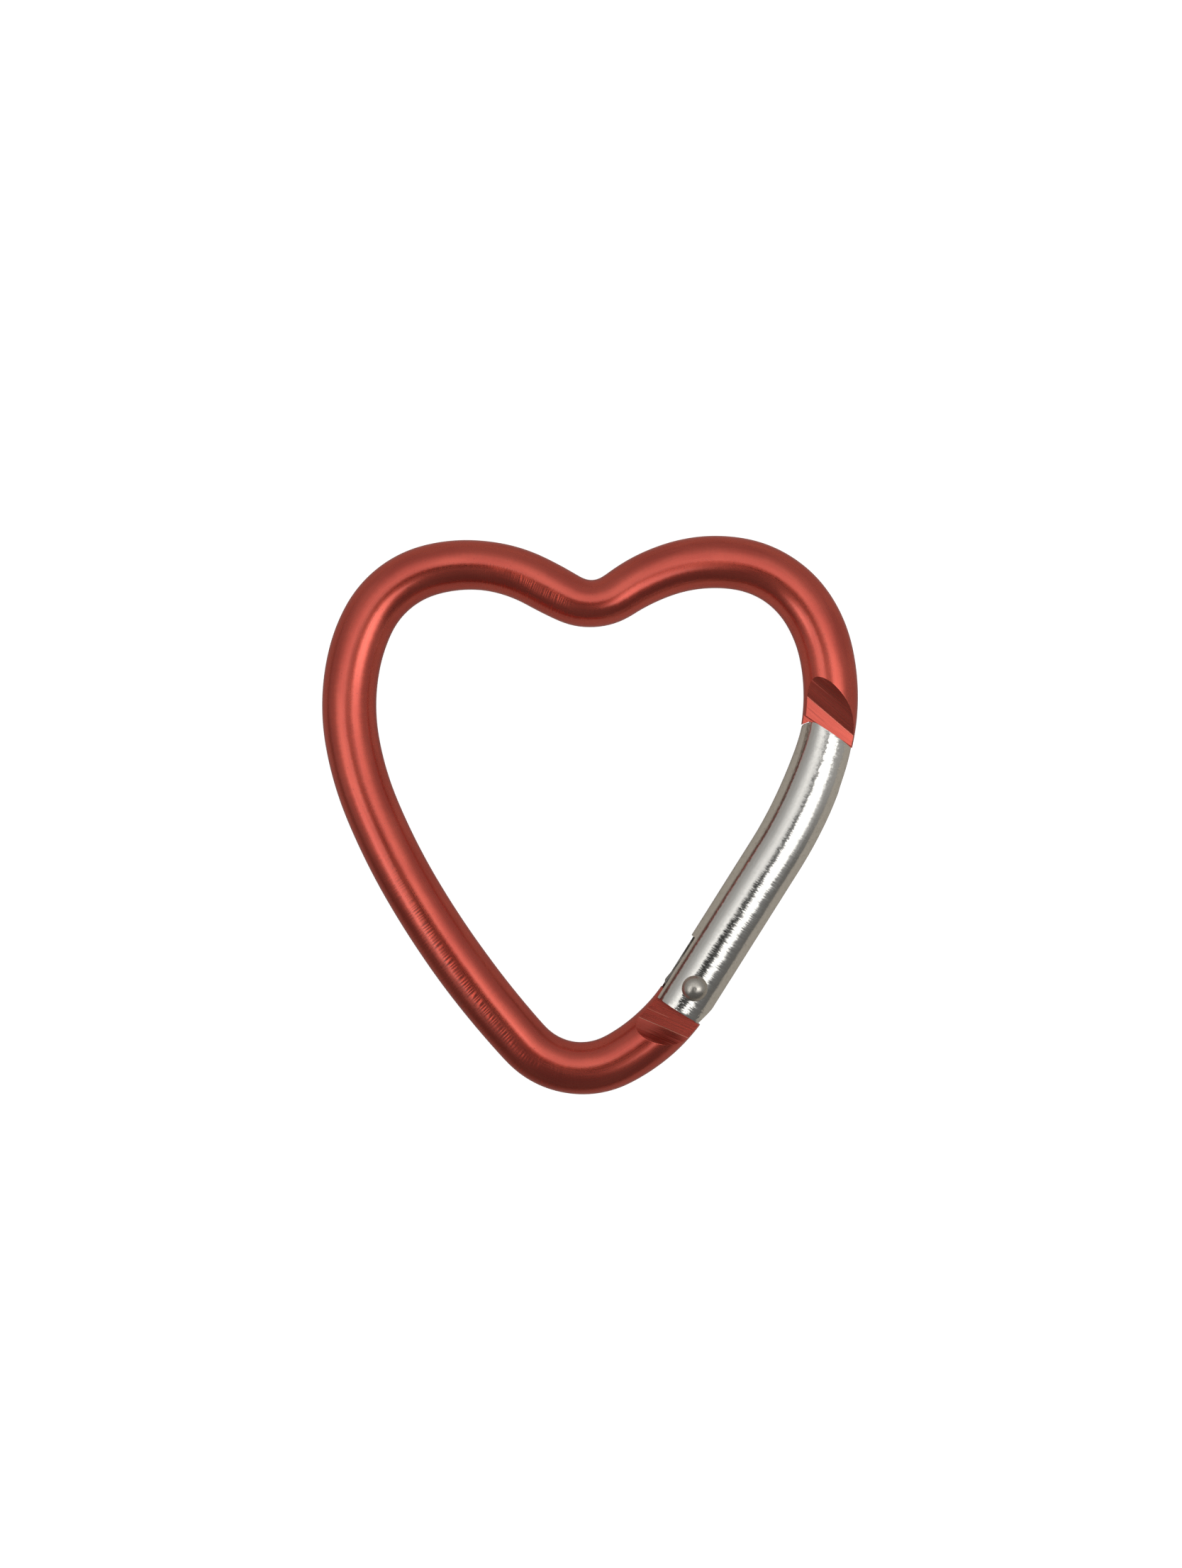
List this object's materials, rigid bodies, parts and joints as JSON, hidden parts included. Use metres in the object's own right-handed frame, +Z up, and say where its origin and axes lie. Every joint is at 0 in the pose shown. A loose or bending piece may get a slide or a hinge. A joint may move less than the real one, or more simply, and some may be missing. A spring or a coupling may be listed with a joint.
{
  "type": "snap hook",
  "caption": "Heart-shaped snap hook of bent round rod, closed by a sprung tube gate that swings inwards on a rivet.",
  "frame": {"origin": "middle of the footprint, on the surface that the hook lies on", "axes": "the heart lies in the XY plane: +Y from its point to its lobes, +X towards the gate side, +Z up through the thickness of the rod"},
  "size_m": [0.0765, 0.0797, 0.0099],
  "materials": {
    "red_anodised_aluminium": "satin, anodised red",
    "nickel_plated_steel": "polished nickel plate with fine scratches",
    "rivet_steel": "satin steel",
    "spring_steel": "plain spring steel"
  },
  "bodies": {
    "hook": {"body": "red_anodised_aluminium"},
    "gate": {"gate": "nickel_plated_steel", "gate_rivet": "rivet_steel", "gate_spring": "spring_steel"}
  },
  "joints": [
    {"name": "gate_pivot", "type": "hinge", "parent": "hook", "child": "gate", "pos_m": [0.0147, -0.0244, 0.00465], "axis": [0, 0, 1], "range_deg": [0, 38], "stiffness_Nm_per_rad": 0.03, "springref_deg": -28.65, "deforming": ["gate_spring"]}
  ]
}
